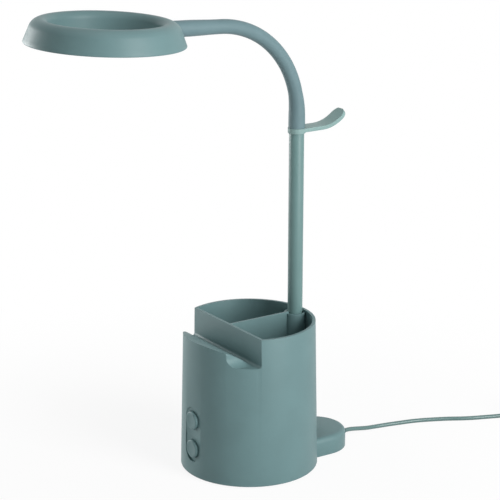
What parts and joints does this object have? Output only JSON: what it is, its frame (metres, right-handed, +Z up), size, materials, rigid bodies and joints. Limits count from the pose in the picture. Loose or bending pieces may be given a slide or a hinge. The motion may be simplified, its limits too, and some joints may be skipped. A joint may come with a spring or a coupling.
{
  "type": "desk lamp",
  "caption": "Desk lamp in grey-green plastic: round pot base with pen compartments, phone ledge and two buttons, pole with a hook, flexible neck and ring head.",
  "frame": {"origin": "centre of the round base on the desk", "axes": "+Z up, -Y towards the front with the ledge and buttons, +X to the right seen from the front"},
  "size_m": [0.2331, 0.5158, 0.4077],
  "materials": {
    "teal_plastic": "moulded ABS, fine satin texture",
    "teal_paint": "powder-coated steel tube",
    "light_teal_plastic": "moulded ABS, satin",
    "teal_sleeve": "smooth silicone sleeve",
    "dark_plastic": "moulded ABS",
    "cast_weight": "cut steel, dull",
    "zinc_steel": "zinc-plated",
    "black_rubber": "moulded rubber",
    "cord_jacket": "soft PVC",
    "lead_jacket": "soft PVC",
    "green_board": "glass-fibre board with solder resist",
    "black_plastic": "moulded nylon",
    "ivory_plastic": "moulded nylon",
    "white_board": "white solder resist",
    "led_yellow": "phosphor-filled silicone",
    "opal_plastic": "frosted acrylic"
  },
  "bodies": {
    "stand": {"base_body": "teal_plastic", "base_plate": "dark_plastic", "counterweight": "cast_weight", "weight_screws": "zinc_steel", "base_screws": "zinc_steel", "rubber_pad": "black_rubber", "rear_pad": "black_rubber", "cable_housing": "teal_plastic", "housing_screws": "zinc_steel", "cord_gland": "dark_plastic", "supply_lead": "lead_jacket", "control_board": "green_board", "board_screws": "zinc_steel", "switch_bodies": "black_plastic", "pole": "teal_paint", "pole_bush": "dark_plastic", "pole_collar": "zinc_steel", "pole_washer": "zinc_steel", "pole_nut": "zinc_steel", "pole_lead": "lead_jacket", "sleeve_end": "teal_sleeve", "cord_run": "cord_jacket", "cord_coil": "cord_jacket", "cord_tail": "cord_jacket", "coil_tie": "black_plastic", "plug_body": "dark_plastic", "plug_shell": "zinc_steel", "plug_tongue": "ivory_plastic"},
    "power_key": {"power_button": "teal_plastic", "power_plunger": "ivory_plastic"},
    "dimmer_key": {"dimmer_button": "teal_plastic", "dimmer_plunger": "ivory_plastic"},
    "hook": {"headphone_hook": "light_teal_plastic"},
    "head": {"neck_end": "teal_sleeve", "neck_nut": "zinc_steel", "head_lead": "lead_jacket", "head_shell": "teal_plastic", "led_board": "white_board", "led_chips": "led_yellow", "led_screws": "zinc_steel", "diffuser": "opal_plastic"},
    "link_1": {"neck_link_1": "teal_sleeve"},
    "link_2": {"neck_link_2": "teal_sleeve"},
    "link_3": {"neck_link_3": "teal_sleeve"},
    "link_4": {"neck_link_4": "teal_sleeve"},
    "link_5": {"neck_link_5": "teal_sleeve"},
    "link_6": {"neck_link_6": "teal_sleeve"},
    "link_7": {"neck_link_7": "teal_sleeve"},
    "link_8": {"neck_link_8": "teal_sleeve"}
  },
  "joints": [
    {"name": "power_press", "type": "slide", "parent": "stand", "child": "power_key", "axis": [0, 1, 0], "range_m": [0, 0.0008], "stiffness_N_per_m": 400, "springref_m": -0.0005},
    {"name": "dimmer_press", "type": "slide", "parent": "stand", "child": "dimmer_key", "axis": [0, 1, 0], "range_m": [0, 0.0008], "stiffness_N_per_m": 400, "springref_m": -0.0005},
    {"name": "hook_turn", "type": "hinge", "parent": "stand", "child": "hook", "pos_m": [0, 0.048, 0.2927], "axis": [0, 0, 1], "continuous": true},
    {"name": "bend_low_1", "type": "hinge", "parent": "stand", "child": "link_1", "pos_m": [0, 0.04771, 0.31579], "axis": [1, 0, 0], "range_deg": [-14.5, 6.5]},
    {"name": "side_1", "type": "hinge", "parent": "link_1", "child": "link_2", "pos_m": [0, 0.04543, 0.32917], "axis": [0, 0.9681, 0.2506], "range_deg": [-15, 15]},
    {"name": "bend_low_2", "type": "hinge", "parent": "link_2", "child": "link_3", "pos_m": [0, 0.04093, 0.34198], "axis": [1, 0, 0], "range_deg": [-14.5, 6.5]},
    {"name": "bend_low_3", "type": "hinge", "parent": "link_3", "child": "link_4", "pos_m": [0, 0.03435, 0.35385], "axis": [1, 0, 0], "range_deg": [-14.5, 6.5]},
    {"name": "side_2", "type": "hinge", "parent": "link_4", "child": "link_5", "pos_m": [0, 0.02586, 0.36445], "axis": [0, 0.725, 0.6888], "range_deg": [-15, 15]},
    {"name": "bend_high_1", "type": "hinge", "parent": "link_5", "child": "link_6", "pos_m": [0, 0.01571, 0.37347], "axis": [1, 0, 0], "range_deg": [-14.5, 6.5]},
    {"name": "bend_high_2", "type": "hinge", "parent": "link_6", "child": "link_7", "pos_m": [0, 0.00419, 0.38065], "axis": [1, 0, 0], "range_deg": [-14.5, 6.5]},
    {"name": "side_3", "type": "hinge", "parent": "link_7", "child": "link_8", "pos_m": [0, -0.00837, 0.3858], "axis": [0, 0.2997, 0.954], "range_deg": [-15, 15]},
    {"name": "bend_high_3", "type": "hinge", "parent": "link_8", "child": "head", "pos_m": [0, -0.02162, 0.38876], "axis": [1, 0, 0], "range_deg": [-14.5, 6.5]}
  ],
  "couplings": [
    {"joint": "bend_low_2", "follows": "bend_low_1", "ratio": 1},
    {"joint": "bend_low_3", "follows": "bend_low_1", "ratio": 1},
    {"joint": "bend_high_2", "follows": "bend_high_1", "ratio": 1},
    {"joint": "bend_high_3", "follows": "bend_high_1", "ratio": 1},
    {"joint": "side_2", "follows": "side_1", "ratio": 1},
    {"joint": "side_3", "follows": "side_1", "ratio": 1}
  ]
}
